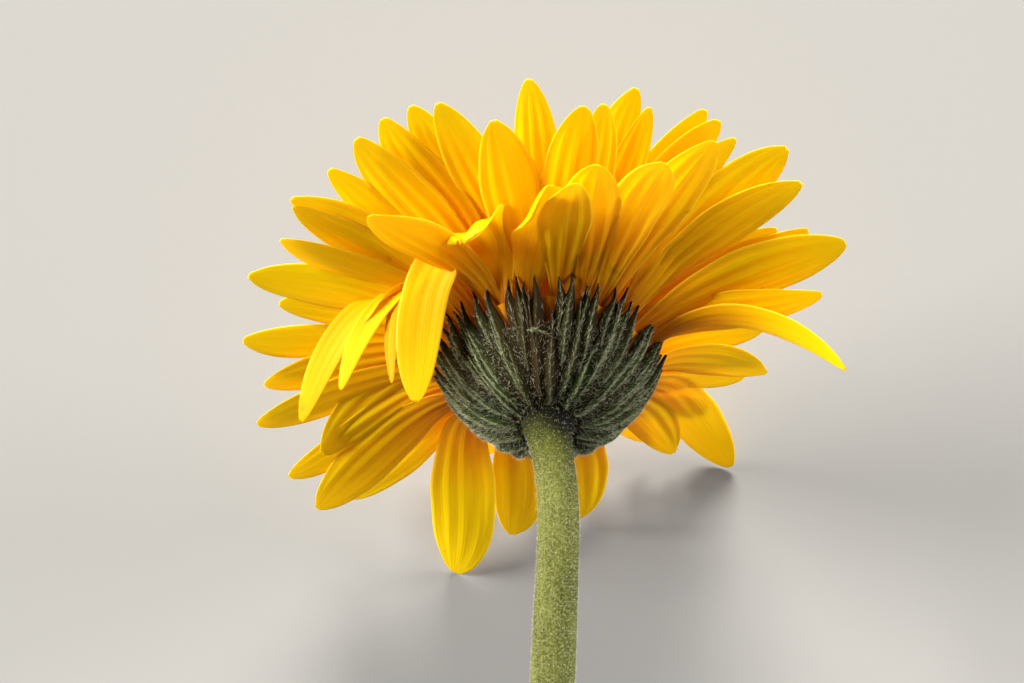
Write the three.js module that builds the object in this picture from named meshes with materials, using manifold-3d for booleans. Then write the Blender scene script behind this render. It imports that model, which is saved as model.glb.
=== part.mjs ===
import * as THREE from "three";
import Module from "manifold-3d";

// A cut gerbera daisy that lies on a table, in millimetres with +Z up.
// The stalk runs toward -Y, and the head leans on the tips of two petals with its face turned down
// and away, so that its back, a woolly green cup, looks up.

const wasm = await Module();
wasm.setup();

// Driving dimensions
const HEAD_AT = [1, 123.9, 41]; // centre of the cup's rim, above the table
const FACE_TURN = 125; // degrees that the face is turned over from looking straight up
const BLADE = 0.6; // thickness of a petal
const CUP_DEPTH = 13.3; // from the cup's rim down to the stalk
const STALK_LENGTH = 281;
const STALK_GAP = 0.3; // between the stalk's end and the cup

const rad = THREE.MathUtils.degToRad;
const at = (x, y, z) => new THREE.Vector3(x, y, z);

// The head's own frame has its origin at the centre of the cup's rim and +Z the way the face looks.
// An azimuth runs anticlockwise as seen from the stalk: 0 is to the right, 90 away from the table.
const radial = (azimuth) => at(Math.cos(rad(azimuth)), -Math.sin(rad(azimuth)), 0);

// Level, across the way out, so that out, across and +Z are a right-handed set.
const acrossOf = (out) => at(-out.y, out.x, 0).normalize();

function heading(azimuth, elevation) {
  return radial(azimuth)
    .multiplyScalar(Math.cos(rad(elevation)))
    .add(at(0, 0, Math.sin(rad(elevation))));
}

// A number from -1 to 1 that is always the same for the same seed.
function vary(seed) {
  const x = Math.sin(seed * 12.9898) * 43758.5453;
  return 2 * (x - Math.floor(x)) - 1;
}

// One closed body from loops of points, each loop anticlockwise as seen from the loops ahead of it.
// A wrapped loft joins its last loop to its first, and any other one has flat ends.
function loft(loops, wrapped = false) {
  const count = loops[0].length;
  const faces = [];
  const spans = wrapped ? loops.length : loops.length - 1;
  for (let i = 0; i < spans; i++) {
    const here = i * count;
    const next = ((i + 1) % loops.length) * count;
    for (let j = 0; j < count; j++) {
      const k = (j + 1) % count;
      faces.push(here + j, here + k, next + k, here + j, next + k, next + j);
    }
  }
  const last = (loops.length - 1) * count;
  for (let j = 1; j < count - 1 && !wrapped; j++) {
    faces.push(0, j + 1, j, last, last + j, last + j + 1);
  }
  const places = loops.flat().flatMap((p) => [p.x, p.y, p.z]);
  return new wasm.Manifold(
    new wasm.Mesh({
      numProp: 3,
      vertProperties: new Float32Array(places),
      triVerts: new Uint32Array(faces),
    }),
  );
}

// Joins bodies that cross into one, with no pocket left inside.
function fuse(bodies) {
  const shells = wasm.Manifold.union(bodies).decompose();
  return shells.reduce((most, shell) => (shell.volume() > most.volume() ? shell : most));
}

// A solid of revolution about Z, from [radius, height] points that go up the outside.
function turned(profile, sides) {
  const loops = profile.map(([radius, height]) =>
    Array.from({ length: sides }, (_, j) => {
      const angle = (2 * Math.PI * j) / sides;
      return at(radius * Math.cos(angle), radius * Math.sin(angle), height);
    }),
  );
  return loft(loops);
}

// A ring about Z, from [radius, height] points that go round its section clockwise.
function ring(profile, sides) {
  const loops = Array.from({ length: sides }, (_, j) => {
    const angle = (2 * Math.PI * j) / sides;
    return profile.map(([radius, height]) =>
      at(radius * Math.cos(angle), radius * Math.sin(angle), height),
    );
  });
  return loft(loops, true);
}

// Petals.
// Breadth of a petal at u along it, as a share of its greatest: a narrow claw, a belly past the
// middle and a blunt tip.
const BELLY = 0.62;

function breadth(u) {
  if (u < BELLY) {
    const t = u / BELLY;
    return 0.3 + 0.7 * (t * t * (3 - 2 * t)) ** 0.8;
  }
  const t = (u - BELLY) / (1 - BELLY);
  return 0.13 + 0.87 * (1 - t ** 2.3) ** 0.8;
}

// A blade along a Bezier midline, dished by a part of its width. Its breadth runs level across the
// way out at the root, turns to tipSide, and leans by twist degrees more at the tip. Its foot is
// carried straight down into the core that it grows on.
const SUNK = 1.2;
const DISH = 0.08;

function blade(midline, width, tipSide, twist, stations) {
  const curve = new THREE.CubicBezierCurve3(...midline);
  const rootSide = acrossOf(midline[0]);
  const section = (u, drop) => {
    const middle = curve.getPoint(u).sub(at(0, 0, drop));
    const along = curve.getTangent(u);
    const across = rootSide.clone().lerp(tipSide, u);
    across.addScaledVector(along, -across.dot(along)).normalize();
    across.applyAxisAngle(along, rad(twist) * u * u);
    const up = along.clone().cross(across);
    const half = (width * breadth(u)) / 2;
    const dish = DISH * width * Math.sin(Math.PI * Math.min(1, 1.05 * u));
    const point = (v, face) =>
      middle
        .clone()
        .addScaledVector(across, half * v)
        .addScaledVector(up, dish * v * v + (face * BLADE) / 2);
    return [point(1, 1), point(0, 1), point(-1, 1), point(-1, -1), point(0, -1), point(1, -1)];
  };
  return loft([section(0, SUNK), ...stations.map((u) => section(u, 0))]);
}

// Where the petals of the four layers leave the core: [radius, height], outermost layer first.
const LAYERS = [
  [15.1, -0.3],
  [14.2, 0],
  [13.3, 0.4],
  [12.3, 0.8],
];

// The ray petals, each as the azimuth, reach and lift of its tip, its width, how far round its root
// is from its tip, its layer, and how steeply it rises from its root and ends at its tip.
const RAYS = [
  [162, 50, 5.5, 8, -8, 0, 35, 0],
  [152, 48, 5.5, 7, -2, 1, 50, 5],
  [146, 49, 7.3, 7.5, 2, 2, 55, 5],
  [143, 50, 7.6, 9, -3, 1, 45, 0],
  [136, 48, 10.1, 8, 0, 2, 55, 8],
  [128, 50, 9.9, 9, -2, 1, 50, 5],
  [128, 44, -1.4, 9, -6, 0, 45, -10],
  [122, 50, 11.6, 9, 0, 2, 50, 8],
  [115.5, 49, 13.1, 8, 2, 3, 60, 10],
  [110, 49, 11.7, 8, -6, 3, 60, 8],
  [101, 45, 9.5, 9.5, 0, 1, 50, 5],
  [93, 50, 12.6, 7, 0, 2, 60, 10],
  [89, 41, -1.8, 8, 12, 0, 50, -20],
  [86, 43, -3.6, 8.5, -2, 0, 50, -20],
  [84.5, 47, 9.9, 8.5, 0, 2, 55, 5],
  [80, 46, -2.1, 9.5, -7, 0, 50, -20],
  [79, 47, 11.1, 7.5, 0, 1, 50, 8],
  [75, 49, 13.7, 8, 0, 3, 60, 10],
  [70, 47, 12.4, 6, -6, 3, 60, 8],
  [68, 47, 0.3, 9, -6, 0, 50, -15],
  [60, 48, 15.2, 8, 4, 1, 60, 10],
  [58.5, 49, 7.3, 9, -2, 0, 45, -5],
  [57.4, 48, 14.2, 8, 0, 2, 60, 8],
  [52.5, 47, 13.6, 6, 0, 3, 60, 8],
  [43, 51, 13.7, 10, -1, 0, 40, 5],
  [38.6, 50, 10.3, 8.5, 2, 1, 45, 5],
  [35, 44, 4.4, 7, 0, 2, 60, -5],
  [30.5, 47, 6.3, 7, 0, 3, 60, -5],
  [23, 51, 8.7, 10, 4, 0, 35, 10],
  [21, 46, 0, 8, -4, 1, 45, -5],
  [341, 39, 11.6, 8.5, 4, 1, 60, 0],
  [309, 50.5, 14.3, 9.5, 26, 0, 50, -15],
  [302.6, 42, 14.5, 8.5, 14, 1, 55, 5],
  [297, 38, 15.5, 7.5, 4, 2, 60, 10],
  [278.6, 44, 6.5, 10, 8, 1, 50, 0],
  [264, 45.3, 3.8, 9.5, -10, 1, 50, 0],
  [252, 52.4, -0.2, 11, -26, 0, 40, 10],
  [226.5, 49, 4.4, 9.5, -4, 1, 50, 0],
  [219, 50, -1.9, 9.5, -8, 0, 40, -5],
  [216.4, 48, 4.2, 7, -2, 2, 55, 0],
  [211, 50, -0.5, 7.5, -8, 1, 45, 0],
  [206.4, 42, -0.9, 9.5, -22, 0, 50, -30],
  [197, 50, 1.2, 8, -4, 1, 45, 0],
  [189, 47, 3.5, 9, -8, 1, 45, 0],
  [180, 49.4, 4.7, 8, -2, 2, 50, 0],
  [168, 44, 6, 8, 0, 2, 50, 0],
];

// Shorter petals of the two inner layers, which stand behind the others: azimuths.
const INNER_RAYS = [200, 234, 252, 268, 284, 316, 332, 350, 10];

// Petals that fold back or hang: the four points of the midline from the root, the width and the
// way that the breadth runs at the tip.
const BENT_RAYS = [
  [[[-8.1, -12.8, -0.3], [-13, -20, 11], [-21, -23, 8], [-21, -4.6, -12.6]], 8, [1, -0.1, 0]],
  [[[-13.1, -7.6, -0.3], [-19, -14, 8.5], [-32, -15, 6.5], [-40, 3.4, -9]], 6, [0.9, -0.1, -0.2]],
  [[[-11.8, -8.3, 0.3], [-17, -15, 8.5], [-28, -15, 6.5], [-33.3, -3, -8.2]], 5, [0.9, -0.1, -0.2]],
  [[[-12.2, -8.6, 0], [-17, -14, 9], [-27, -17, 8], [-24.5, -5.4, -9]], 5, [0.5, -0.7, -0.2]],
  [[[14.9, -2.7, -0.3], [24, -8, 12], [39, -10.5, 9], [47.2, -4, -4.5]], 7, [0.2, 0.9, 0]],
  [[[-4.7, -14.4, -0.3], [-3, -22, 8], [-4, -36, 8], [-16.7, -27, -1]], 7.5, [0.8, 0.5, 0]],
];

const FINE = [0, 0.18, 0.38, 0.6, 0.82, 1];
const COARSE = [0, 0.25, 0.5, 0.75, 1];

// The midline of a petal that spreads from its layer.
function spread([azimuth, reach, lift, , turn, layer, rise, nod]) {
  const [radius, height] = LAYERS[layer];
  const root = radial(azimuth + turn).multiplyScalar(radius).setZ(height);
  const tip = radial(azimuth).multiplyScalar(reach).setZ(lift);
  const span = root.distanceTo(tip);
  const rising = root.clone().addScaledVector(heading(azimuth + turn, rise), 0.3 * span);
  const ending = tip.clone().addScaledVector(heading(azimuth, nod), -0.36 * span);
  return [root, rising, ending, tip];
}

function rayFlorets() {
  const core = [
    [11.4, -5.7],
    [11.4, 1.1],
    [16.4, -0.7],
    [15.4, -2.2],
    [13.4, -4.6],
    [12.3, -5.7],
  ];
  const bodies = [ring(core, 40)];
  RAYS.forEach((ray, i) => {
    bodies.push(blade(spread(ray), ray[3], acrossOf(radial(ray[0])), 14 * vary(i + 1), FINE));
  });
  INNER_RAYS.forEach((azimuth, i) => {
    const reach = 37 + 1.5 * vary(i + 80);
    const lift = 14 + 1.5 * vary(i + 100);
    const ray = [azimuth, reach, lift, 7.5, 0, 2 + (i % 2), 60, 10];
    const lean = 10 * vary(i + 120);
    bodies.push(blade(spread(ray), ray[3], acrossOf(radial(azimuth)), lean, COARSE));
  });
  for (const [points, width, side] of BENT_RAYS) {
    const midline = points.map((p) => at(...p));
    bodies.push(blade(midline, width, at(...side), 0, FINE));
  }
  return fuse(bodies);
}

// The straps of the ring inside the ray petals: count, root radius, tip radius and height.
const STRAP_RINGS = [
  [17, 10.4, 18.5, 15],
  [12, 9.4, 14, 16.5],
];

function transFlorets() {
  const core = [
    [8.7, -5.7],
    [8.7, 1.9],
    [11.1, 1.3],
    [11.1, -5.7],
  ];
  const bodies = [ring(core, 32)];
  STRAP_RINGS.forEach(([count, radius, reach, height], row) => {
    for (let i = 0; i < count; i++) {
      const azimuth = (360 * (i + 0.5 * row)) / count + 3 * vary(200 + 40 * row + i);
      const root = radial(azimuth).multiplyScalar(radius).setZ(1.5);
      const tip = radial(azimuth)
        .multiplyScalar(reach + 1.2 * vary(300 + 40 * row + i))
        .setZ(height + 1.5 * vary(400 + 40 * row + i));
      const rising = root.clone().addScaledVector(heading(azimuth, 84), 6);
      const ending = tip.clone().addScaledVector(heading(azimuth, 40), -4);
      const midline = [root, rising, ending, tip];
      bodies.push(blade(midline, 2.6, acrossOf(radial(azimuth)), 0, [0, 0.5, 1]));
    }
  });
  return fuse(bodies);
}

// The dome of closed florets in the middle of the face, in the spiral of a sunflower's seeds.
const BUDS = 50;
const DOME = [
  [8.4, -5.7],
  [8.4, 0.9],
  [6.4, 2],
  [3.4, 2.8],
  [0.6, 3],
];

function discFlorets() {
  const bodies = [turned(DOME, 28)];
  for (let i = 0; i < BUDS; i++) {
    const radius = 7.4 * Math.sqrt((i + 0.5) / BUDS);
    const angle = rad(137.508 * i);
    const foot = 3 - 2 * (radius / 8.4) ** 2;
    const bud = [
      [0.8, foot - 0.7],
      [0.4, foot + 1.9],
    ];
    bodies.push(turned(bud, 4).translate(radius * Math.cos(angle), radius * Math.sin(angle), 0));
  }
  return fuse(bodies);
}

// The cup.
// The side that its bracts follow, from the stalk past the rim, as [radius, height].
const CUP = [
  [4.3, -CUP_DEPTH],
  [8.1, -11.4],
  [12, -8],
  [15, -4.6],
  [17.2, -1.8],
  [18.1, -0.2],
  [19.1, 0.9],
];
// The flesh inside ends below the rim, so the upper bracts stand free as separate points.
const FLESH = [...CUP.slice(0, 4), [13.9, -4.5], [12.6, -6]];

// Rows of bracts, lowest row first: how many, the share of the cup's side at the foot and at the
// tip, the width, and how far the ridge stands off the cup.
const BRACT_ROWS = [
  [12, 0.03, 0.53, 4.4, 1],
  [16, 0.12, 0.74, 4.6, 0.75],
  [26, 0.28, 1, 4.4, 0.55],
];

const cupSide = new THREE.SplineCurve(CUP.map(([r, z]) => new THREE.Vector2(r, z)));

// A narrow bract that lies up the cup's side, ridged along its middle, and tapers from below its
// middle to a long free point.
function bract(azimuth, foot, tip, width, stand) {
  const loops = [0, 0.4, 0.75, 1].map((u) => {
    const share = foot + (tip - foot) * u;
    const place = cupSide.getPoint(share);
    const slope = cupSide.getTangent(share);
    const out = radial(azimuth);
    const middle = out.clone().multiplyScalar(place.x).setZ(place.y);
    const along = out.clone().multiplyScalar(slope.x).setZ(slope.y);
    const across = at(out.y, -out.x, 0);
    const off = along.clone().cross(across);
    const half = (width / 2) * (u < 0.5 ? 0.5 + 1.25 * u : 1 - 0.9 * ((u - 0.4) / 0.6));
    const lifted = 0.35 * u * u;
    const point = (x, y) =>
      middle.clone().addScaledVector(across, x).addScaledVector(off, y + lifted);
    return [point(half, -0.35), point(0, stand), point(-half, -0.35)];
  });
  return loft(loops);
}

function involucre() {
  const bodies = [turned(FLESH, 32)];
  BRACT_ROWS.forEach(([count, foot, tip, width, stand], row) => {
    for (let i = 0; i < count; i++) {
      const azimuth = (360 * (i + 0.4 * row)) / count + 4 * vary(500 + 40 * row + i);
      const end = Math.min(1, tip + 0.04 * vary(600 + 40 * row + i));
      bodies.push(bract(azimuth, foot, end, width, stand));
    }
  });
  return fuse(bodies);
}

// The stalk.
// It is walked from the cup to the cut end. Each row: the distance walked, the slope in degrees
// above level, the turn to the right in degrees and the stalk's radius.
const STALK = [
  [0, 35, 0, 4.1],
  [2.5, 33, 8, 3.5],
  [7, 24, 9, 3.2],
  [12, 6, 5, 3.15],
  [17, -7, -1, 3.2],
  [24, -10, -2.5, 3.3],
  [45, -10.5, -2, 3.5],
  [90, -10.5, -1, 3.6],
  [140, -10.5, 0.5, 3.65],
  [190, -11, 1.5, 3.7],
  [240, -11.5, 1, 3.75],
  [STALK_LENGTH, -12, 0, 3.8],
];
const STALK_SIDES = 18;
const CUT_SLANT = 25; // degrees that the cut end leans from square

function stalk(start) {
  const loops = [];
  const middle = start.clone();
  STALK.forEach(([walked, slope, turn, radius], i) => {
    const along = at(Math.sin(rad(turn)), -Math.cos(rad(turn)), 0)
      .multiplyScalar(Math.cos(rad(slope)))
      .setZ(Math.sin(rad(slope)));
    if (i > 0) {
      const [before, slopeBefore, turnBefore] = STALK[i - 1];
      const was = at(Math.sin(rad(turnBefore)), -Math.cos(rad(turnBefore)), 0)
        .multiplyScalar(Math.cos(rad(slopeBefore)))
        .setZ(Math.sin(rad(slopeBefore)));
      middle.addScaledVector(was.add(along).normalize(), walked - before);
    }
    const right = along.clone().cross(at(0, 0, 1)).normalize();
    const up = right.clone().cross(along);
    const last = i === STALK.length - 1;
    loops.push(
      Array.from({ length: STALK_SIDES }, (_, j) => {
        const angle = (2 * Math.PI * j) / STALK_SIDES;
        const high = radius * Math.cos(angle);
        return middle
          .clone()
          .addScaledVector(up, high)
          .addScaledVector(right, radius * Math.sin(angle))
          .addScaledVector(along, last ? -high * Math.tan(rad(CUT_SLANT)) : 0);
      }),
    );
  });
  return loft(loops);
}

// Puts a body in the scene as a named mesh.
function meshOf(name, body, colour, roughness) {
  const mesh = body.getMesh();
  const geometry = new THREE.BufferGeometry();
  geometry.setAttribute("position", new THREE.BufferAttribute(mesh.vertProperties, 3));
  geometry.setIndex(new THREE.BufferAttribute(mesh.triVerts, 1));
  geometry.computeVertexNormals();
  const material = new THREE.MeshStandardMaterial({ color: colour, roughness });
  const made = new THREE.Mesh(geometry, material);
  made.name = name;
  return made;
}

// The flower
const flower = new THREE.Group();
const head = new THREE.Group();
head.position.set(...HEAD_AT);
head.rotation.x = -rad(FACE_TURN);
head.add(
  meshOf("involucre", involucre(), 0x59623f, 0.9),
  meshOf("ray_florets", rayFlorets(), 0xf2b80a, 0.6),
  meshOf("trans_florets", transFlorets(), 0xe8b010, 0.6),
  meshOf("disc_florets", discFlorets(), 0xb8901c, 0.7),
);
head.updateMatrixWorld(true);
const joint = at(0, 0, -CUP_DEPTH - STALK_GAP).applyMatrix4(head.matrixWorld);
flower.add(head, meshOf("stem", stalk(joint), 0x93a05c, 0.8));

export default flower;
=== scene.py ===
import math

import bpy
import numpy as np
from mathutils import Matrix, Vector


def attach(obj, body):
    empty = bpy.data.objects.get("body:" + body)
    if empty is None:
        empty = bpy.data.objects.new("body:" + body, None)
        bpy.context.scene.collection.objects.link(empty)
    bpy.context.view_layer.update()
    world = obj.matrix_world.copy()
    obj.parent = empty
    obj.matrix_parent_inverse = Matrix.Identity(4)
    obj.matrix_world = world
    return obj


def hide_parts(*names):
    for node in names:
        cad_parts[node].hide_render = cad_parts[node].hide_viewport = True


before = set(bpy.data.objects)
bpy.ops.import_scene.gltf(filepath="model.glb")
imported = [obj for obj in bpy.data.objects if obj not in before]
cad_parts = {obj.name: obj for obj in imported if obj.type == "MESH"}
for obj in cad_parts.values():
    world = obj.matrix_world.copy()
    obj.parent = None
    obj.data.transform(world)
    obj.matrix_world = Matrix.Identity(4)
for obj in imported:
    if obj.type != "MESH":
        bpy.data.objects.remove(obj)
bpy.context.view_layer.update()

# A cut gerbera daisy that lies on a pale table, its stalk toward -Y and its face turned down and
# away, so that the camera looks down on the woolly cup and the backs of the petals.

# Camera
# The photograph looks square across the stalk at the back of the head. Lying down, the flower
# shows the same side to a camera 80 degrees above the table.
HEAD_AT = Vector((0.001, 0.1239, 0.041))  # centre of the cup's rim
CAMERA_ABOVE_LEVEL = math.radians(80)
CAMERA_DISTANCE = 0.55
PIXELS_PER_METRE = 6200  # at the cup's rim
PICTURE_WIDTH = 1024  # pixels
SENSOR_WIDTH = 36
HEAD_RIGHT_OF_MIDDLE = 36 / PIXELS_PER_METRE
HEAD_BELOW_MIDDLE = 24.5 / PIXELS_PER_METRE

turn = Matrix.Rotation(math.pi / 2 - CAMERA_ABOVE_LEVEL, 3, "X")
view_up = turn @ Vector((0, 1, 0))
view_back = turn @ Vector((0, 0, 1))
lens = bpy.data.cameras.new("photo_lens")
lens.sensor_width = SENSOR_WIDTH
lens.lens = CAMERA_DISTANCE * PIXELS_PER_METRE * SENSOR_WIDTH / PICTURE_WIDTH
lens.clip_start = 0.01
camera = bpy.data.objects.new("photo_camera", lens)
camera.location = (
    HEAD_AT
    + CAMERA_DISTANCE * view_back
    + HEAD_BELOW_MIDDLE * view_up
    - HEAD_RIGHT_OF_MIDDLE * Vector((1, 0, 0))
)
camera.rotation_euler = turn.to_euler()
bpy.context.collection.objects.link(camera)
bpy.context.scene.camera = camera
bpy.context.scene.view_settings.view_transform = "Standard"

# Ray petals
# Some sixty translucent yellow straps in four layers, each rooted in the fleshy core inside the
# cup by a narrow claw. They are thin and softly pleated lengthwise, with three small teeth at the
# tip. A few on the left fold back and hang.
FACE_TURN = math.radians(125)  # how far the face is turned over from looking straight up
HEAD = np.array(
    Matrix.Translation(HEAD_AT) @ Matrix.Rotation(-FACE_TURN, 4, "X") @ Matrix.Scale(0.001, 4)
)


def in_row(points):
    """Points of the head's own frame, in millimetres, placed on the table in metres."""
    points = np.asarray(points, float)
    return points @ HEAD[:3, :3].T + HEAD[:3, 3]


def radial(azimuth):
    """The way out from the head's axis. Azimuths run anticlockwise as seen from the stalk."""
    angle = math.radians(azimuth)
    return np.array((math.cos(angle), -math.sin(angle), 0.0))


def heading(azimuth, elevation):
    """The way out from the head's axis that rises by so many degrees."""
    angle = math.radians(elevation)
    return radial(azimuth) * math.cos(angle) + np.array((0, 0, math.sin(angle)))


def across_of(out):
    """The level way across a way out."""
    across = np.array((-out[1], out[0], 0.0))
    return across / np.linalg.norm(across)


def vary(seed):
    """A number from -1 to 1 that is always the same for the same seed."""
    x = math.sin(seed * 12.9898) * 43758.5453
    return 2 * (x - math.floor(x)) - 1


BELLY = 0.62  # where along a petal it is broadest
CLAW_BREADTH = 0.3  # as a share of the greatest
TIP_BREADTH = 0.13


def breadth(u, bluntness):
    """Breadth of a petal at u along it, as a share of its greatest."""
    rising = np.clip(u / BELLY, 0, 1)
    falling = np.clip((u - BELLY) / (1 - BELLY), 0, 1)
    claw = CLAW_BREADTH + (1 - CLAW_BREADTH) * (rising**2 * (3 - 2 * rising)) ** 0.8
    tip = TIP_BREADTH + (1 - TIP_BREADTH) * (1 - falling**bluntness) ** 0.75
    return np.where(u < BELLY, claw, tip)


def turned_about(vectors, axes, angles):
    """Each vector turned about its own axis."""
    cos = np.cos(angles)[:, None]
    sin = np.sin(angles)[:, None]
    along = np.sum(vectors * axes, axis=1)[:, None] * axes
    return vectors * cos + np.cross(axes, vectors) * sin + along * (1 - cos)


def midline_frames(points, tip_side, twist, u):
    """Places, and the ways along, across and up, at u along a Bezier midline."""
    p0, p1, p2, p3 = (np.asarray(p, float) for p in points)
    u = u[:, None]
    m = 1 - u
    place = m**3 * p0 + 3 * m**2 * u * p1 + 3 * m * u**2 * p2 + u**3 * p3
    along = 3 * m**2 * (p1 - p0) + 6 * m * u * (p2 - p1) + 3 * u**2 * (p3 - p2)
    along /= np.linalg.norm(along, axis=1)[:, None]
    across = across_of(p0) * m + np.asarray(tip_side, float) * u
    across -= np.sum(across * along, axis=1)[:, None] * along
    across /= np.linalg.norm(across, axis=1)[:, None]
    across = turned_about(across, along, math.radians(twist) * u[:, 0] ** 2)
    return place, along, across, np.cross(along, across)


def shell_faces(rows, columns):
    """Faces that close two equal grids of points, upper then lower, into one thin body."""
    upper = np.arange(rows * columns).reshape(rows, columns)
    lower = upper + rows * columns

    def strip(a, b):
        return np.stack((a[:-1], a[1:], b[1:], b[:-1]), axis=1)

    faces = []
    for j in range(columns - 1):
        faces.append(strip(upper[:, j], upper[:, j + 1]))
        faces.append(strip(lower[:, j + 1], lower[:, j]))
    faces.append(strip(upper[:, -1], lower[:, -1]))
    faces.append(strip(lower[:, 0], upper[:, 0]))
    faces.append(strip(upper[0], lower[0]))
    faces.append(strip(lower[-1], upper[-1]))
    return np.concatenate(faces).tolist()


def mesh_piece(name, points, faces, material, facts, uv):
    """A smooth mesh object in the row frame, with a number per point for each named fact."""
    mesh = bpy.data.meshes.new(name)
    mesh.from_pydata(np.asarray(points).tolist(), [], faces)
    for fact, values in facts.items():
        attribute = mesh.attributes.new(fact, "FLOAT", "POINT")
        attribute.data.foreach_set("value", np.asarray(values, np.float32))
    corner = np.zeros(len(mesh.loops), np.int32)
    mesh.loops.foreach_get("vertex_index", corner)
    layer = mesh.uv_layers.new(name="lengthwise")
    layer.data.foreach_set("uv", np.asarray(uv, np.float32)[corner].ravel())
    mesh.shade_smooth()
    mesh.materials.append(material)
    piece = bpy.data.objects.new(name, mesh)
    bpy.context.collection.objects.link(piece)
    return piece


def joined(parts):
    """One set of points, faces and facts from a list of them."""
    points, faces, uv, facts = [], [], [], {}
    count = 0
    for part in parts:
        points.append(part["points"])
        faces += [[k + count for k in face] for face in part["faces"]]
        uv.append(part["uv"])
        for fact, value in part["facts"].items():
            facts.setdefault(fact, []).append(np.broadcast_to(value, len(part["points"])))
        count += len(part["points"])
    facts = {fact: np.concatenate(values) for fact, values in facts.items()}
    return np.concatenate(points), faces, facts, np.concatenate(uv)


def linear(colour):
    """A linear colour from an sRGB hex one."""
    parts = [int(colour[i : i + 2], 16) / 255 for i in (1, 3, 5)]
    return [p / 12.92 if p <= 0.04045 else ((p + 0.055) / 1.055) ** 2.4 for p in parts] + [1]


def add(tree, kind, inputs=None, stops=(), **settings):
    """Adds a node with its settings, its colour stops (the two ends first), its values
    and its links. A node given as a value is linked from the first output that it shows."""
    made = tree.nodes.new(kind)
    for name, value in settings.items():
        setattr(made, name, value)
    for i, (place, colour) in enumerate(stops):
        elements = made.color_ramp.elements
        element = elements[i] if i < 2 else elements.new(place)
        element.position = place
        element.color = linear(colour)
    for name, value in (inputs or {}).items():
        if isinstance(value, str) and value.startswith("#"):
            value = linear(value)
        if isinstance(value, bpy.types.Node):
            value = next(output for output in value.outputs if output.enabled)
        if isinstance(value, bpy.types.NodeSocket):
            tree.links.new(value, made.inputs[name])
        else:
            made.inputs[name].default_value = value
    return made


MULTIPLY = {"data_type": "RGBA", "blend_type": "MULTIPLY"}


def new_material(name):
    """An empty material and its node tree."""
    material = bpy.data.materials.new(name)
    material.use_nodes = True
    material.node_tree.nodes.clear()
    return material, material.node_tree


def lengthwise_map(tree):
    """How far across and along its piece a point lies, by the piece's own map."""
    uv = add(tree, "ShaderNodeUVMap", uv_map="lengthwise")
    split = add(tree, "ShaderNodeSeparateXYZ", {"Vector": uv})
    return split.outputs["X"], split.outputs["Y"]


PER_MM = 1000  # a pattern's scale is its number of spots along a metre

# Layers of petals: radius and height at which they leave the core, outermost first
LAYERS = ((15.1, -0.3), (14.2, 0), (13.3, 0.4), (12.3, 0.8))

# Azimuth, reach and lift of the tip, width, turn of the root, layer, rise at the root and nod at
# the tip, as in the CAD, but for the three at azimuths 16 to 28: the photograph shows them behind
# the long and the drooping petal at the right, so their tips lie further back
RAYS = (
    (162, 50, 5.5, 8, -8, 0, 35, 0),
    (152, 48, 5.5, 7, -2, 1, 50, 5),
    (146, 49, 7.3, 7.5, 2, 2, 55, 5),
    (143, 50, 7.6, 9, -3, 1, 45, 0),
    (136, 48, 10.1, 8, 0, 2, 55, 8),
    (128, 50, 9.9, 9, -2, 1, 50, 5),
    (128, 44, -1.4, 9, -6, 0, 45, -10),
    (122, 50, 11.6, 9, 0, 2, 50, 8),
    (115.5, 49, 13.1, 8, 2, 3, 60, 10),
    (110, 49, 11.7, 8, -6, 3, 60, 8),
    (101, 45, 9.5, 9.5, 0, 1, 50, 5),
    (93, 50, 12.6, 7, 0, 2, 60, 10),
    (86, 43, -3.6, 8.5, -2, 0, 50, -20),
    (84.5, 47, 9.9, 8.5, 0, 2, 55, 5),
    (80, 46, -2.1, 9.5, -7, 0, 50, -20),
    (79, 47, 11.1, 7.5, 0, 1, 50, 8),
    (75, 49, 13.7, 8, 0, 3, 60, 10),
    (70, 47, 12.4, 6, -6, 3, 60, 8),
    (68, 47, 0.3, 9, -6, 0, 50, -15),
    (60, 48, 15.2, 8, 4, 1, 60, 10),
    (58.5, 49, 7.3, 9, -2, 0, 45, -5),
    (57.4, 48, 14.2, 8, 0, 2, 60, 8),
    (52.5, 47, 13.6, 6, 0, 3, 60, 8),
    (43, 51, 13.7, 10, -1, 0, 40, 5),
    (38.6, 50, 10.3, 8.5, 2, 1, 45, 5),
    (28, 41.5, 11, 7, 0, 2, 60, 5),
    (25, 46, 10.4, 7, 0, 3, 60, 5),
    (23, 51, 8.7, 10, 4, 0, 35, 10),
    (16, 45.5, 2.8, 8, -2, 1, 45, -5),
    (341, 39, 11.6, 8.5, 4, 1, 60, 0),
    (309, 50.5, 14.3, 9.5, 26, 0, 50, -15),
    (302.6, 42, 14.5, 8.5, 14, 1, 55, 5),
    (297, 38, 15.5, 7.5, 4, 2, 60, 10),
    (278.6, 44, 6.5, 10, 8, 1, 50, 0),
    (264, 45.3, 3.8, 9.5, -10, 1, 50, 0),
    (252, 52.4, -0.2, 11, -26, 0, 40, 10),
    (226.5, 49, 4.4, 9.5, -4, 1, 50, 0),
    (219, 50, -1.9, 9.5, -8, 0, 40, -5),
    (216.4, 48, 4.2, 7, -2, 2, 55, 0),
    (211, 50, -0.5, 7.5, -8, 1, 45, 0),
    (206.4, 42, -0.9, 9.5, -22, 0, 50, -30),
    (197, 50, 1.2, 8, -4, 1, 45, 0),
    (189, 47, 3.5, 9, -8, 1, 45, 0),
    (180, 49.4, 4.7, 8, -2, 2, 50, 0),
    (168, 44, 6, 8, 0, 2, 50, 0),
)
POINTED_BELOW = 45  # azimuth; petals at the right have slimmer tips

# Azimuths of the shorter petals of the two inner layers, which stand behind the others
INNER_RAYS = (200, 234, 252, 268, 284, 316, 332, 350, 10, 47)
INNER_REACH = 37
INNER_LIFT = 14
INNER_WIDTH = 7.5

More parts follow.
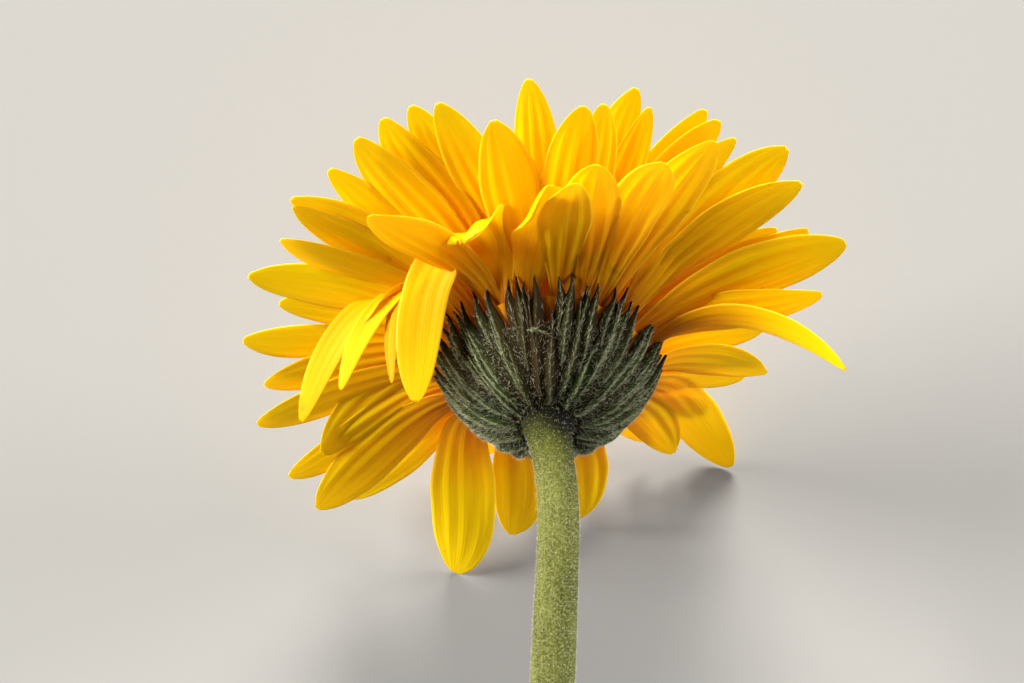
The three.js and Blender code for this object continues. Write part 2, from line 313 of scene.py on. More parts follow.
# Petals that fold, roll or hang: midline from the root, the way the breadth runs at the tip,
# width, bluntness, depth of ruffle and roll of the left margin
BENT_RAYS = (
    (
        ((-8.1, -12.8, -0.3), (-13, -20, 11), (-21, -23, 8), (-21, -4.6, -12.6)),
        (1, -0.1, 0), 7.6, 5, 0, 0,
    ),
    (
        ((-13.1, -7.6, -0.3), (-19, -14, 8.5), (-32, -15, 6.5), (-40, 3.4, -9)),
        (1, -0.1, -0.2), 5, 4, 0, 0,
    ),
    (
        ((-11.8, -8.3, 0.3), (-17, -15, 8.5), (-28, -15, 6.5), (-33.3, -3, -8.2)),
        (1, -0.1, -0.2), 4, 3, 0, 0,
    ),
    (
        ((-12.2, -8.6, 0), (-17, -14, 9), (-27, -17, 8), (-24.5, -5.4, -9)),
        (0.5, -0.7, -0.2), 4.4, 3, 0, 0,
    ),
    (
        ((14.9, -2.7, -0.3), (24, -11.2, 6.4), (39, -10.4, 0.1), (47.2, -6.5, -7)),
        (0.2, 0.9, 0), 6, 2.2, 0, 0,
    ),
    (
        ((-7.4, -13.2, -0.3), (-8.5, -19, 6), (-12, -27.2, 8.6), (-13.8, -28, -0.6)),
        (0.9, -0.3, 0.3), 12, 4, 0.4, 0,
    ),
    (
        ((-2.9, -14.8, -0.3), (-3.9, -19.8, 5.8), (0.5, -32, 1.5), (0.7, -41, -1.8)),
        (1, 0, 0), 9.5, 3, 0, 0.85,
    ),
)
# That strip is also coloured amber all along its length, as painted shade
HANGING_STRIP = 3  # of the bent petals, the one whose golden underside shows on both faces

PETAL_GRID = (29, 21)  # rows and columns of points
BENT_PLEATS = 0.35  # the bent petals are smoother than the others
PETAL_THICKNESS = 0.42
PETAL_SUNK = 1.2  # how deep a foot goes into the core
DISH = 0.08  # rise of the margins, as a share of the width
ROOT_PULL = 0.3  # share of the span over which the rise at the root acts
TIP_PULL = 0.36  # and the nod at the tip
ROLL_FROM = 0.4  # share of the half width at which a rolled margin starts
PLEATS_ACROSS = 4
TEETH = 3
MARGIN_THINNING = 0.75  # share of the thickness lost at the margins
TIP_THINNING = 0.6  # and at the tip

# Forms as shares of the width, the first three with a mean and a variation
PLEAT = (0.025, 0.012)
WAVE = (0.045, 0.03)
TOOTH = (0.028, 0.02)
SWAY = 0.025
TIP_SWAY = 0.13


def varied(form, seed):
    """A value for a seed from a mean and a variation."""
    mean, variation = form
    return mean + variation * vary(seed)


def spread(ray):
    """The midline of a petal that spreads from its layer."""
    azimuth, reach, lift, _, root_turn, layer, rise, nod = ray
    radius, height = LAYERS[layer]
    root = radial(azimuth + root_turn) * radius + np.array((0, 0, height))
    tip = radial(azimuth) * reach + np.array((0, 0, lift))
    span = np.linalg.norm(tip - root)
    rising = root + heading(azimuth + root_turn, rise) * ROOT_PULL * span
    ending = tip - heading(azimuth, nod) * TIP_PULL * span
    return root, rising, ending, tip


def rolled(half, u, v, roll):
    """Places across a petal and above it, with its left margin rolled under by so many half turns."""
    whole = max(roll, 0.001) * np.pi * np.clip(3 * u - 1.2, 0.001, 1)
    share = np.clip((-v - ROLL_FROM) / (1 - ROLL_FROM), 0, 1)
    bend = (1 - ROLL_FROM) * half / whole
    sideways = half * np.maximum(v, -ROLL_FROM) - bend * np.sin(whole * share)
    return sideways, bend * (np.cos(whole * share) - 1)


def petal(
    midline, width, tip_side, twist, seed, bluntness, rows, columns, pleats=1, ruffle=0, roll=0
):
    """A thin pleated strap along a midline. A ruffle waves it toward the tip."""
    u = np.linspace(0, 1, rows - 1)
    u = 1 - (1 - u) ** 1.5
    place, along, across, up = midline_frames(midline, tip_side, twist, u)
    v = np.linspace(-1, 1, columns)[None, :]
    u = u[:, None]
    middle = np.sin(np.pi * np.minimum(1, 1.05 * u))
    half = width * breadth(u, bluntness) / 2
    pleat = pleats * width * varied(PLEAT, seed + 0.3)
    wave = width * varied(WAVE, seed + 0.5)
    phase = 3 * vary(seed + 0.7)
    height = DISH * width * middle * v**2
    pleating = np.cos(PLEATS_ACROSS * np.pi * v + 0.4 * phase) * middle * (0.5 + 0.5 * u)
    height = height - pleat * pleating
    height = height - ruffle * np.cos(2.6 * np.pi * v + 0.6) * np.clip(2.5 * u - 1, 0, 1)
    height = height + wave * v * np.abs(v) * np.sin(5.5 * u + phase) * middle
    sway = SWAY * width * vary(seed + 0.9) * np.sin(2 * np.pi * u)
    sway = sway + TIP_SWAY * width * vary(seed + 0.2) * u**7
    tooth = width * varied(TOOTH, seed + 0.6)
    teeth = tooth * (np.abs(np.cos(TEETH / 2 * np.pi * v)) - 0.6) * np.clip(14 * u - 13, 0, 1)
    ragged = 1 + 0.02 * np.sin(23 * u + phase) * middle
    sideways, rolled_under = rolled(half * ragged, u, v, roll)
    height = height + rolled_under
    middle_points = (
        place[:, None]
        + across[:, None] * (sideways + sway)[..., None]
        + along[:, None] * teeth[..., None]
        + up[:, None] * height[..., None]
    )
    thin = PETAL_THICKNESS / 2 * (1 - MARGIN_THINNING * np.abs(v) ** 3) * (1 - TIP_THINNING * u**4)
    upper = middle_points + up[:, None] * thin[..., None]
    lower = middle_points - up[:, None] * thin[..., None]
    down = np.array((0, 0, PETAL_SUNK))
    upper = np.concatenate((upper[:1] - down, upper))
    lower = np.concatenate((lower[:1] - down, lower))
    grid_u = np.concatenate((u[:1], u)) * np.ones_like(v)
    grid_v = np.ones((rows, 1)) * (v + 1) / 2
    uv = np.stack((grid_v.ravel(), grid_u.ravel()), axis=1)
    return {
        "points": in_row(np.concatenate((upper.reshape(-1, 3), lower.reshape(-1, 3)))),
        "faces": shell_faces(rows, columns),
        "uv": np.concatenate((uv, uv)),
        "facts": {"inner": np.repeat((1.0, 0.0), rows * columns), "tone": 0.5 + 0.5 * vary(seed)},
    }


# Radius and height of each corner of the core's section
CORE = ((11.4, -5.7), (11.4, 1.1), (16.4, -0.7), (15.4, -2.2), (13.4, -4.6), (12.3, -5.7))
CORE_RIBS = (0, 0, 0.12, 0.3, 0.25, 0)  # the petals' swollen feet show as ribs down the core
CORE_ALONG = (0, 0.1, 0.12, 0.06, 0, 0)  # place along a petal that each corner takes its colour from
CORE_SIDES = 240
CLAWS = 40


def flesh_ring(profile, sides, ribs, along, inner):
    """A ring of flesh about the head's axis, from points that go round its section clockwise."""
    angles = np.linspace(0, 2 * np.pi, sides, endpoint=False)[:, None]
    profile = np.array(profile)
    radius = profile[:, 0] + np.array(ribs) * np.cos(CLAWS * angles)
    height = np.ones((sides, 1)) * profile[:, 1]
    points = np.stack((np.cos(angles) * radius, np.sin(angles) * radius, height), axis=2)
    uv = np.full((radius.size, 2), 0.5)
    uv[:, 1] = (np.zeros_like(radius) + along).ravel()
    here = np.arange(radius.size).reshape(radius.shape)
    there = np.roll(here, -1, axis=0)
    faces = np.stack((here, np.roll(here, -1, 1), np.roll(there, -1, 1), there), axis=2)
    return {
        "points": in_row(points.reshape(-1, 3)),
        "faces": faces.reshape(-1, 4).tolist(),
        "uv": uv,
        "facts": {"inner": inner, "tone": 0.5},
    }


# Petal tissue: a thin waxy skin, lemon yellow inside, golden outside and orange at the claw. Light
# comes through it, so petals glow where the lamp is behind them, deeper where two lie together.
petal_tissue, tree = new_material("petal_tissue")
across, along = lengthwise_map(tree)
tone = add(tree, "ShaderNodeAttribute", attribute_name="tone").outputs["Fac"]
inner = add(tree, "ShaderNodeAttribute", attribute_name="inner").outputs["Fac"]
own = add(tree, "ShaderNodeMath", {0: tone, 1: 37.0}, operation="MULTIPLY")
place = add(tree, "ShaderNodeTexCoord").outputs["Object"]

# Streaks drawn out along the petal: how many lie across it and along it, and their detail. On a
# petal 8 mm wide the veins are a third of a millimetre apart, and the broader bands 1.6 mm.
STREAKS = ((24.0, 1.2, 2.0), (5.0, 1.4, 1.0))
BRUISES = 0.15 * PER_MM
streaks = []
for narrow, long, detail in STREAKS:
    wide = add(tree, "ShaderNodeMath", {0: across, 1: narrow}, operation="MULTIPLY")
    far = add(tree, "ShaderNodeMath", {0: along, 1: long}, operation="MULTIPLY")
    spot = add(tree, "ShaderNodeCombineXYZ", {"X": wide, "Y": far, "Z": own})
    streaks.append(
        add(tree, "ShaderNodeTexNoise", {"Vector": spot, "Scale": 1.0, "Detail": detail})
    )
veins, bands = streaks
drift = add(tree, "ShaderNodeMath", {0: bands, 1: 0.5}, operation="SUBTRACT")
faded = add(tree, "ShaderNodeMath", {0: drift, 1: 0.3, 2: along}, operation="MULTIPLY_ADD")
outside = add(
    tree,
    "ShaderNodeValToRGB",
    {"Fac": faded},
    stops=((0, "#AE5600"), (1, "#FFF40A"), (0.12, "#C88000"), (0.34, "#F8CC00"), (0.6, "#FFF000")),
)
inside = add(
    tree,
    "ShaderNodeValToRGB",
    {"Fac": faded},
    stops=((0, "#E69200"), (1, "#FFDE04"), (0.2, "#FFCC00"), (0.6, "#FFDE00")),
)
sides = add(tree, "ShaderNodeMix", {0: inner, 6: outside, 7: inside}, data_type="RGBA")
vein_shade = add(
    tree,
    "ShaderNodeValToRGB",
    {"Fac": veins},
    stops=((0.3, "#F2DC98"), (0.62, "#FFFFFF")),
)
veined = add(tree, "ShaderNodeMix", {0: 0.3, 6: sides, 7: vein_shade}, **MULTIPLY)
tint = add(tree, "ShaderNodeValToRGB", {"Fac": tone}, stops=((0, "#FFF4D8"), (1, "#FFFFFF")))
tinted = add(tree, "ShaderNodeMix", {0: 0.7, 6: veined, 7: tint}, **MULTIPLY)
signed = add(tree, "ShaderNodeMath", {0: across, 1: 2.0, 2: -1.0}, operation="MULTIPLY_ADD")
off_middle = add(tree, "ShaderNodeMath", {0: signed}, operation="ABSOLUTE")
rim = add(
    tree,
    "ShaderNodeMapRange",
    {"Value": off_middle, "From Min": 0.8, "From Max": 1.0, "To Min": 0.0, "To Max": 0.4},
)
rimmed = add(tree, "ShaderNodeMix", {0: rim, 6: tinted, 7: "#FFE238"}, data_type="RGBA")
bruises = add(tree, "ShaderNodeTexNoise", {"Vector": place, "Scale": BRUISES, "Detail": 5.0})
bruise_shade = add(
    tree,
    "ShaderNodeValToRGB",
    {"Fac": bruises},
    stops=((0.69, "#FFFFFF"), (0.78, "#B88A50")),
)
petal_colour = add(tree, "ShaderNodeMix", {0: 0.6, 6: rimmed, 7: bruise_shade}, **MULTIPLY)
bump = add(tree, "ShaderNodeBump", {"Height": veins, "Strength": 0.5, "Distance": 0.0002})
skin = add(
    tree,
    "ShaderNodeBsdfPrincipled",
    {"Base Color": petal_colour, "Roughness": 0.5, "Specular IOR Level": 0.15, "Normal": bump},
)
glow_colour = add(tree, "ShaderNodeMix", {0: 0.4, 6: petal_colour, 7: "#FFE810"}, **MULTIPLY)
glow = add(tree, "ShaderNodeBsdfTranslucent", {"Color": glow_colour, "Normal": bump})
both = add(tree, "ShaderNodeMixShader", {"Fac": 0.5, 1: skin, 2: glow})
add(tree, "ShaderNodeOutputMaterial", {"Surface": both})

petal_parts = [flesh_ring(CORE, CORE_SIDES, CORE_RIBS, CORE_ALONG, 0.0)]
for i, ray in enumerate(RAYS):
    side = across_of(radial(ray[0]))
    blunt = 2.4 + 0.6 * vary(i + 1.1) - (0.4 if ray[0] < POINTED_BELOW else 0)
    twist = 14 * vary(i + 1)
    petal_parts.append(petal(spread(ray), ray[3], side, twist, i + 1, blunt, *PETAL_GRID))
for i, azimuth in enumerate(INNER_RAYS):
    reach = INNER_REACH + 1.5 * vary(i + 80)
    lift = INNER_LIFT + 1.5 * vary(i + 100)
    ray = (azimuth, reach, lift, INNER_WIDTH, 0, 2 + i % 2, 60, 10)
    side = across_of(radial(azimuth))
    twist = 10 * vary(i + 120)
    petal_parts.append(petal(spread(ray), ray[3], side, twist, i + 80, 2.8, *PETAL_GRID))
for i, (midline, tip_side, width, blunt, ruffle, roll) in enumerate(BENT_RAYS):
    form = (midline, width, tip_side, 0, i + 60, blunt, *PETAL_GRID)
    bent = petal(*form, BENT_PLEATS, ruffle, roll)
    if i == HANGING_STRIP:
        bent["facts"]["inner"] = 0.0
        # Painted shade: the strip takes the deeper colours of a petal's lower part all along
        bent["uv"][:, 1] *= 0.3
    petal_parts.append(bent)
points, faces, facts, uv = joined(petal_parts)
ray_petals = mesh_piece("ray_petals", points, faces, petal_tissue, facts, uv)
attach(ray_petals, "root")
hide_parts("ray_florets")

# Inner straps
# Two rings of short narrow straps, the trans florets, between the petals and the disc. They are
# of the same thin yellow tissue, and rise almost straight out of a ring of flesh inside the core.
STRAP_RINGS = ((17, 10.4, 18.5, 15), (12, 9.4, 14, 16.5))  # count, root and tip radius, tip height
STRAP_WIDTH = 2.6
STRAP_GRID = (16, 9)
STRAP_CORE = ((8.7, -5.7), (8.7, 1.9), (11.1, 1.3), (11.1, -5.7))
STRAP_CORE_SIDES = 72

strap_parts = [flesh_ring(STRAP_CORE, STRAP_CORE_SIDES, 0, 0.5, 1.0)]
for row, (count, root_radius, tip_radius, tip_height) in enumerate(STRAP_RINGS):
    for i in range(count):
        azimuth = 360 * (i + 0.5 * row) / count + 3 * vary(200 + 40 * row + i)
        reach = tip_radius + 1.2 * vary(300 + 40 * row + i)
        height = tip_height + 1.5 * vary(400 + 40 * row + i)
        root = radial(azimuth) * root_radius + np.array((0, 0, 1.5))
        tip = radial(azimuth) * reach + np.array((0, 0, height))
        rising = root + heading(azimuth, 84) * 6
        ending = tip - heading(azimuth, 40) * 4
        side = across_of(radial(azimuth))
        midline = (root, rising, ending, tip)
        seed = 240 + 40 * row + i
        strap_parts.append(petal(midline, STRAP_WIDTH, side, 0, seed, 3, *STRAP_GRID))
points, faces, facts, uv = joined(strap_parts)
inner_straps = mesh_piece("inner_straps", points, faces, petal_tissue, facts, uv)
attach(inner_straps, "root")
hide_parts("trans_florets")

# Disc florets
# The middle of the face: small tubular florets, close-packed in spirals on a low fleshy dome, open
# at the outside of the disc and still shut as green-tipped buds in its middle.
DOME = ((8.4, -5.7), (8.4, 0.9), (6.4, 2), (3.4, 2.8), (0.6, 3))
FLORETS = 150
FLORET_RADIUS = 0.42
FLORET_HEIGHT = 2.2
FLORET_LEAN = 0.45  # radians, at the edge of the disc
DISC_RADIUS = 7.5
GOLDEN_ANGLE = math.radians(137.508)


def tube_faces(rings, sides):
    """Walls along rings of points, with fans that close both ends on the last two points."""
    here = np.arange(rings * sides).reshape(rings, sides)
    beside = np.roll(here, -1, axis=1)
    walls = np.stack((here[:-1], beside[:-1], beside[1:], here[1:]), axis=2).reshape(-1, 4)
    caps = [(here.size, b, a) for a, b in zip(here[0], beside[0])]
    caps += [(here.size + 1, a, b) for a, b in zip(here[-1], beside[-1])]
    return walls.tolist() + caps


def lathe(profile, sides):
    """A solid of revolution about the head's axis, from points that go up its outside."""
    angles = np.linspace(0, 2 * np.pi, sides, endpoint=False)
    profile = np.array(profile, float)
    points = np.stack(
        (
            np.outer(profile[:, 0], np.cos(angles)),
            np.outer(profile[:, 0], np.sin(angles)),
            np.outer(profile[:, 1], np.ones(sides)),
        ),
        axis=2,
    ).reshape(-1, 3)
    ends = np.array(((0, 0, profile[0, 1]), (0, 0, profile[-1, 1])))
    return np.concatenate((points, ends)), tube_faces(len(profile), sides)


def tree_with(name, inputs):
    """An empty geometry node tree with named inputs, and its input and output nodes."""
    tree = bpy.data.node_groups.new(name, "GeometryNodeTree")
    tree.interface.new_socket("Geometry", in_out="INPUT", socket_type="NodeSocketGeometry")
    for label, kind in inputs.items():
        tree.interface.new_socket(label, in_out="INPUT", socket_type="NodeSocket" + kind)
    tree.interface.new_socket("Geometry", in_out="OUTPUT", socket_type="NodeSocketGeometry")
    return tree, tree.nodes.new("NodeGroupInput").outputs, tree.nodes.new("NodeGroupOutput").inputs


def end_in_mesh(tree, pieces, material, result):
    """Ends a geometry node tree in plain mesh of one material."""
    real = add(tree, "GeometryNodeRealizeInstances", {"Geometry": pieces})
    painted = add(tree, "GeometryNodeSetMaterial", {"Geometry": real, "Material": material})
    tree.links.new(painted.outputs["Geometry"], result["Geometry"])


def grown(name, base, tree, values):
    """A plain mesh object that a geometry node tree grows from a base mesh."""
    piece = bpy.data.objects.new(name, base)
    bpy.context.collection.objects.link(piece)
    modifier = piece.modifiers.new(name, "NODES")
    modifier.node_group = tree
    sockets = {item.name: item.identifier for item in tree.interface.items_tree}
    for label, value in values.items():
        modifier[sockets[label]] = value
    depsgraph = bpy.context.evaluated_depsgraph_get()
    result = bpy.data.meshes.new_from_object(piece.evaluated_get(depsgraph))
    piece.modifiers.clear()
    piece.data = result
    result.name = name
    return piece


# Disc tissue: soft and dull, warm yellow at the outside and yellow-green in the unopened middle.
disc_tissue, tree = new_material("disc_floret_tissue")
out_share = add(tree, "ShaderNodeAttribute", attribute_name="out_share").outputs["Fac"]
disc_colour = add(
    tree,
    "ShaderNodeValToRGB",
    {"Fac": out_share},
    stops=((0, "#8E9A2C"), (1, "#E0A010"), (0.45, "#B5A424"), (0.75, "#D8A81A")),
)
skin = add(tree, "ShaderNodeBsdfPrincipled", {"Base Color": disc_colour, "Roughness": 0.6})
add(tree, "ShaderNodeOutputMaterial", {"Surface": skin})

floret_profile = (
    (0.22, -0.9),
    (0.34, 0.1),
    (0.36, 1.2),
    (FLORET_RADIUS, 1.8),
    (0.36, FLORET_HEIGHT),
    (0.2, FLORET_HEIGHT - 0.25),
)
points, faces = lathe(floret_profile, 7)
floret_mesh = bpy.data.meshes.new("floret")
floret_mesh.from_pydata((points * 0.001).tolist(), [], faces)
floret_mesh.shade_smooth()
floret = bpy.data.objects.new("floret", floret_mesh)

points, faces = lathe(DOME, 48)
dome_mesh = bpy.data.meshes.new("dome")
dome_mesh.from_pydata((points * 0.001).tolist(), [], faces)

tree, given, result = tree_with(
    "spiral_of_florets",
    {
        "Floret": "Object",
        "Count": "Int",
        "Disc radius": "Float",
        "Golden angle": "Float",
        "Lean": "Float",
        "Seed": "Int",
        "Material": "Material",
    },
)
index = add(tree, "GeometryNodeInputIndex")
line = add(tree, "GeometryNodeMeshLine", {"Count": given["Count"]})
middle_of = add(tree, "ShaderNodeMath", {0: index, 1: 0.5}, operation="ADD")
share = add(tree, "ShaderNodeMath", {0: middle_of, 1: given["Count"]}, operation="DIVIDE")
out = add(tree, "ShaderNodeMath", {0: share}, operation="SQRT")
radius = add(tree, "ShaderNodeMath", {0: out, 1: given["Disc radius"]}, operation="MULTIPLY")
angle = add(tree, "ShaderNodeMath", {0: index, 1: given["Golden angle"]}, operation="MULTIPLY")
sink = add(tree, "ShaderNodeMath", {0: share, 1: -0.002, 2: 0.003}, operation="MULTIPLY_ADD")
flat = add(tree, "ShaderNodeCombineXYZ", {"X": radius, "Z": sink})
place = add(tree, "ShaderNodeVectorRotate", {"Vector": flat, "Angle": angle}, rotation_type="Z_AXIS")
placed = add(tree, "GeometryNodeSetPosition", {"Geometry": line, "Position": place})
marked = add(
    tree,
    "GeometryNodeStoreNamedAttribute",
    {"Geometry": placed, "Name": "out_share", "Value": out},
    data_type="FLOAT",
    domain="POINT",
)
tilt = add(tree, "ShaderNodeMath", {0: out, 1: given["Lean"]}, operation="MULTIPLY")
turned = add(tree, "ShaderNodeCombineXYZ", {"Y": tilt, "Z": angle})
size = add(
    tree,
    "FunctionNodeRandomValue",
    {2: 0.82, 3: 1.12, "Seed": given["Seed"]},
    data_type="FLOAT",
)
shape = add(tree, "GeometryNodeObjectInfo", {"Object": given["Floret"]}).outputs["Geometry"]
copies = add(
    tree,
    "GeometryNodeInstanceOnPoints",
    {"Points": marked, "Instance": shape, "Rotation": turned, "Scale": size},
)
whole = add(tree, "GeometryNodeJoinGeometry")
tree.links.new(copies.outputs["Instances"], whole.inputs["Geometry"])
tree.links.new(given["Geometry"], whole.inputs["Geometry"])
end_in_mesh(tree, whole, given["Material"], result)
disc_values = {
    "Floret": floret,
    "Count": FLORETS,
    "Disc radius": DISC_RADIUS / 1000,
    "Golden angle": GOLDEN_ANGLE,
    "Lean": FLORET_LEAN,
    "Seed": 4,
    "Material": disc_tissue,
}
disc_florets = grown("disc_of_florets", dome_mesh, tree, disc_values)
disc_florets.data.transform(Matrix(HEAD.tolist()) @ Matrix.Scale(1000, 4))
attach(disc_florets, "root")
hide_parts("disc_florets")

# Cup
# The involucre: narrow green bracts in four overlapping rows on the fleshy receptacle, in one
# piece with it. Each has a pale woolly rib, and the upper ones end in long free points. Those at
# the top middle are painted darker and browner, with fewer wool hairs, as painted shade, and the
# dry tip of one has come loose and curls.
CUP_DEPTH = 13.3
# Radius and height of points up the cup's side
CUP = (
    (4.3, -CUP_DEPTH),
    (8.5, -11.7),
    (12.2, -8.7),
    (14.9, -5.1),
    (16.8, -2),
    (17.8, 0),
    (18.6, 1.9),
    (19.4, 3.8),
)
FLESH_TOP = 0.43  # share of the cup's side at which the flesh ends
FLESH_INSIDE = ((13.9, -4.5), (12.6, -6))
# Rows of bracts: count, foot and tip as shares of the cup's side, width and how far they stand out
BRACT_ROWS = (
    (12, 0.02, 0.47, 3.8, 1),
    (16, 0.06, 0.68, 3.5, 0.8),
    (26, 0.2, 0.9, 3.3, 0.65),
    (26, 0.36, 0.86, 2.6, 0.25),
)
# Bracts about this azimuth are painted darker and browner, with fewer wool hairs, as painted shade
SHADE_PATCH_AT = 102  # azimuth
SHADE_PATCH_SPREAD = 22  # degrees to either side
# Breadth of a bract up its length, as shares of its width
BRACT_BREADTH = ((0, 0.55), (0.2, 0.88), (0.4, 0.8), (0.6, 0.46), (0.8, 0.2), (1, 0.02))
BRACT_SUNK = 0.3  # how far its edges lie below the cup's side
BRACT_RIB_HEIGHT = 0.3
BRACT_RIB_BREADTH = 0.12  # as a share of the half width
BRACT_STATIONS = 20
BRACT_COLUMNS = 11
LOOSE_TIP = ((-3.6, -13.6, -5.9), (-2.9, -15, -6.4), (-1.2, -15.4, -7), (0.3, -14.5, -8.2))


def spline_at(points, share):
    """Places and directions along a uniform Catmull-Rom spline."""
    points = np.array(points, float)
    spans = len(points) - 1
    s = np.clip(np.asarray(share, float), 0, 1) * spans
    i = np.minimum(s.astype(int), spans - 1)
    t = (s - i)[:, None]
    a = points[np.maximum(i - 1, 0)]
    b = points[i]
    c = points[i + 1]
    d = points[np.minimum(i + 2, spans)]
    v0 = (c - a) / 2
    v1 = (d - b) / 2
    place = (2 * b - 2 * c + v0 + v1) * t**3 + (3 * c - 3 * b - 2 * v0 - v1) * t**2 + v0 * t + b
    slope = 3 * (2 * b - 2 * c + v0 + v1) * t**2 + 2 * (3 * c - 3 * b - 2 * v0 - v1) * t + v0
    return place, slope / np.linalg.norm(slope, axis=1)[:, None]


def bract(azimuth, foot, tip, width, stand, seed):
    """A ridged bract up the cup's side that tapers to a long free point."""
    u = np.linspace(0, 1, BRACT_STATIONS)
    place, slope = spline_at(CUP, foot + (tip - foot) * u)
    out = radial(azimuth)
    height = np.array((0, 0, 1))
    middle = out * place[:, :1] + height * place[:, 1:]
    along = out * slope[:, :1] + height * slope[:, 1:]
    across = np.array((out[1], -out[0], 0))
    off = np.cross(along, across)
    half = (np.interp(u, *np.transpose(BRACT_BREADTH)) * width / 2)[:, None]
    v = np.linspace(-1, 1, BRACT_COLUMNS)[None, :]
    lifted = (0.35 + 0.2 * vary(seed)) * u[:, None] ** 2
    slim = np.clip(half / (width / 2), 0.2, 1)
    ridge = BRACT_RIB_HEIGHT * np.exp(-((v / BRACT_RIB_BREADTH) ** 2))
    ridge = ridge * np.clip(5 - 5 * u[:, None], 0, 1)
    crown = -BRACT_SUNK + (stand + 0.2) * slim * (1 - np.abs(v) ** 1.3) + ridge
    lean = (0.5 * vary(seed + 0.4) * u[:, None] ** 2) + 0.2 * np.sin(7 * u[:, None] + seed)
    outer = (
        middle[:, None]
        + across * (half * v + lean)[..., None]
        + off[:, None] * (crown + lifted)[..., None]
    )
    inner = outer - off[:, None] * (0.25 + slim * (1 - np.abs(v)) * 0.4)[..., None]
    grid_u = u[:, None] * np.ones_like(v)
    grid_v = np.ones_like(u)[:, None] * (v + 1) / 2
    uv = np.stack((grid_v.ravel(), grid_u.ravel()), axis=1)
    # Painted shade on the bracts at the top middle: browner, and with fewer wool hairs
    shade_patch = np.exp(-(((azimuth - SHADE_PATCH_AT) / SHADE_PATCH_SPREAD) ** 2))
    wool = (0.03 + np.exp(-((v / 0.14) ** 2)) + 0.9 * (1 - grid_u) ** 4).ravel()
    wool *= 1 - 0.75 * shade_patch
    grain = np.repeat(along @ HEAD[:3, :3].T * 1000, BRACT_COLUMNS, axis=0)
    return {
        "points": in_row(np.concatenate((outer.reshape(-1, 3), inner.reshape(-1, 3)))),
        "faces": shell_faces(BRACT_STATIONS, BRACT_COLUMNS),
        "uv": np.concatenate((uv, uv)),
        "facts": {
            # random dryness, plus painted shade on the bracts at the top middle
            "dried_and_shade": 0.15 + 0.2 * vary(seed + 0.8) + 0.55 * shade_patch,
            "wool": np.concatenate((wool, 0 * wool)),
            "grain_x": np.tile(grain[:, 0], 2),
            "grain_y": np.tile(grain[:, 1], 2),
            "grain_z": np.tile(grain[:, 2], 2),
        },
    }


# Bract skin: dull grey-green leaf, nearly black between the ribs, with brown points. The pale line
# along each rib is matted wool too fine to model hair by hair, so it is coloured.
SPECKS = 2.6 * PER_MM
PATCHES = 0.5 * PER_MM
bract_skin, tree = new_material("bract_skin")
across, along = lengthwise_map(tree)
place = add(tree, "ShaderNodeTexCoord").outputs["Object"]
dried_and_shade = add(tree, "ShaderNodeAttribute", attribute_name="dried_and_shade").outputs["Fac"]
speckle = add(tree, "ShaderNodeTexNoise", {"Vector": place, "Scale": SPECKS, "Detail": 3.0})
soft = add(tree, "ShaderNodeTexNoise", {"Vector": place, "Scale": PATCHES, "Detail": 2.0})
signed = add(tree, "ShaderNodeMath", {0: across, 1: 2.0, 2: -1.0}, operation="MULTIPLY_ADD")
off_rib = add(tree, "ShaderNodeMath", {0: signed}, operation="ABSOLUTE")
frayed = add(tree, "ShaderNodeMath", {0: speckle, 1: 0.5, 2: off_rib}, operation="MULTIPLY_ADD")
green = add(
    tree,
    "ShaderNodeValToRGB",
    {"Fac": frayed},
    stops=((0.2, "#A2A48A"), (1, "#181C0A"), (0.3, "#686C50"), (0.4, "#303E16"), (0.75, "#20290E")),
)
patches = add(tree, "ShaderNodeValToRGB", {"Fac": soft}, stops=((0.35, "#B0AC9A"), (0.65, "#FFFFFF")))
patched = add(tree, "ShaderNodeMix", {0: 0.7, 6: green, 7: patches}, **MULTIPLY)
ends = add(
    tree,
    "ShaderNodeValToRGB",
    {"Fac": along},
    stops=((0, "#FFFFFF"), (1, "#8A6050"), (0.7, "#F4F0E8"), (0.9, "#B89880")),
)
bract_colour = add(tree, "ShaderNodeMix", {0: 1.0, 6: patched, 7: ends}, **MULTIPLY)
# Browned by random dryness, and by painted shade on the bracts at the top middle
browned = add(
    tree,
    "ShaderNodeMix",
    {0: dried_and_shade, 6: bract_colour, 7: "#2E1F10"},
    data_type="RGBA",
    clamp_factor=True,
)
bump = add(tree, "ShaderNodeBump", {"Height": speckle, "Strength": 0.6, "Distance": 0.00015})
skin = add(
    tree,
    "ShaderNodeBsdfPrincipled",
    {"Base Color": browned, "Roughness": 0.8, "Specular IOR Level": 0.05, "Normal": bump},
)
add(tree, "ShaderNodeOutputMaterial", {"Surface": skin})

flesh_side, _ = spline_at(CUP, np.linspace(0, FLESH_TOP, 16))
points, faces = lathe(np.concatenate((flesh_side, FLESH_INSIDE)), 72)
flesh_uv = np.zeros((len(points), 2))
flesh_uv[:, 1] = 0.3
facts = {"dried_and_shade": 0.4, "wool": 0.8, "grain_x": 0.0, "grain_y": 0.0, "grain_z": 0.0}
cup_parts = [{"points": in_row(points), "faces": faces, "uv": flesh_uv, "facts": facts}]
for row, (count, foot, tip, width, stand) in enumerate(BRACT_ROWS):
    for i in range(count):
        azimuth = 360 * (i + 0.4 * row) / count + 4 * vary(500 + 40 * row + i)
        end = min(1, tip + 0.07 * vary(600 + 40 * row + i))
        cup_parts.append(bract(azimuth, foot, end, width, stand, 700 + 40 * row + i))
curl = petal(
    LOOSE_TIP, 1.2, (0.3, -0.7, -0.7), twist=40, seed=5, bluntness=2.5, rows=14, columns=7
)
curl["facts"] = {"dried_and_shade": 0.3, "wool": 0.1, "grain_x": 0.6, "grain_y": 0.0, "grain_z": -0.4}
curl["uv"][:, 0] = 0.53
cup_parts.append(curl)
points, faces, facts, uv = joined(cup_parts)
cup = mesh_piece("cup_of_bracts", points, faces, bract_skin, facts, uv)
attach(cup, "root")
